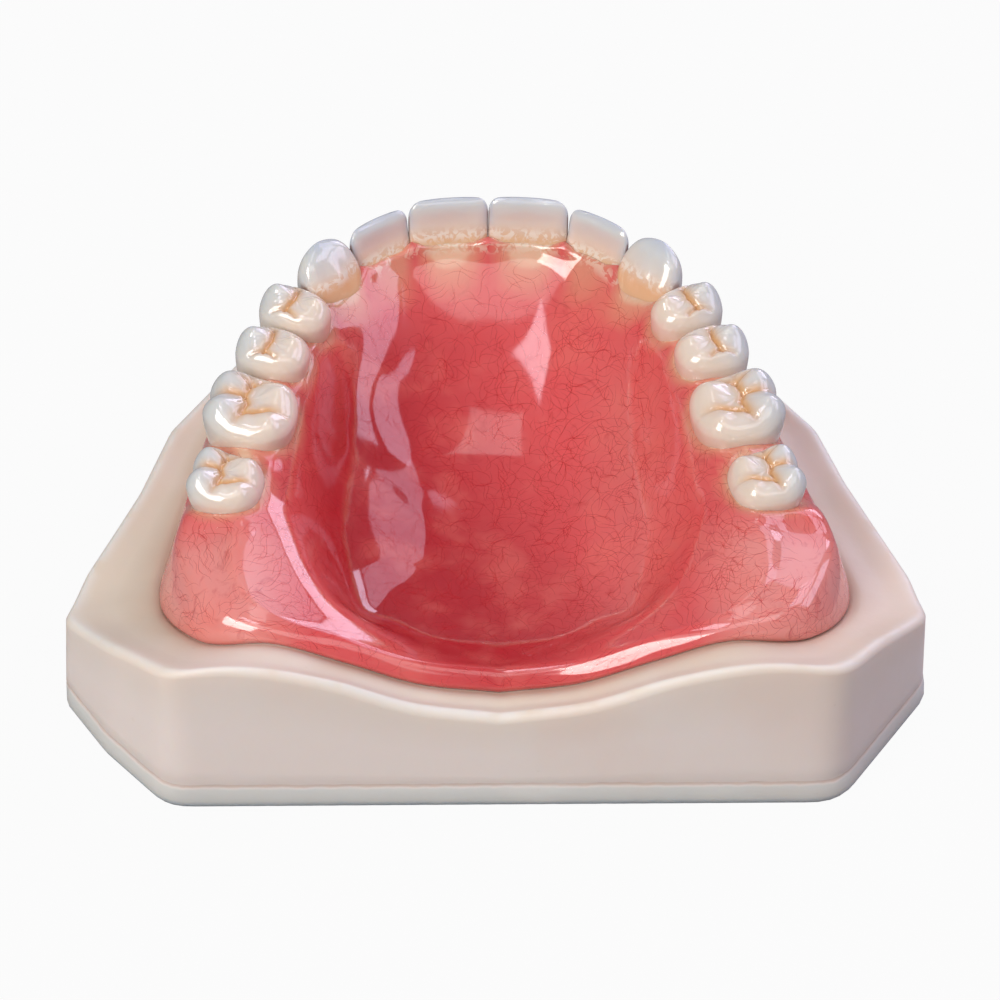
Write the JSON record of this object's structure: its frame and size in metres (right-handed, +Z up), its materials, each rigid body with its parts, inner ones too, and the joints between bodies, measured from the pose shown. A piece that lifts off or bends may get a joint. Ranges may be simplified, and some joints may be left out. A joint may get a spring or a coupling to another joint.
{
  "type": "full denture",
  "caption": "Full upper denture: pink acrylic base with a set arch of ivory teeth, palate hollow facing up, seated on its trimmed dental cast.",
  "frame": {"origin": "centre of the whole object's plan, on the flat underside of the cast", "axes": "+Z up from the cast's underside to the teeth, +Y towards the incisors, +X towards the wearer's left"},
  "size_m": [0.0887, 0.072, 0.0287],
  "materials": {
    "cast_resin": "satin cream resin, trimmed walls",
    "pink_acrylic": "polished translucent pink acrylic with red fibres",
    "tooth_acrylic": "polished ivory acrylic, translucent edges"
  },
  "bodies": {
    "root": {"cast": "cast_resin", "denture_base": "pink_acrylic", "right_central_incisor": "tooth_acrylic", "right_lateral_incisor": "tooth_acrylic", "right_canine": "tooth_acrylic", "right_first_premolar": "tooth_acrylic", "right_second_premolar": "tooth_acrylic", "right_first_molar": "tooth_acrylic", "right_second_molar": "tooth_acrylic", "left_central_incisor": "tooth_acrylic", "left_lateral_incisor": "tooth_acrylic", "left_canine": "tooth_acrylic", "left_first_premolar": "tooth_acrylic", "left_second_premolar": "tooth_acrylic", "left_first_molar": "tooth_acrylic", "left_second_molar": "tooth_acrylic"}
  },
  "joints": []
}
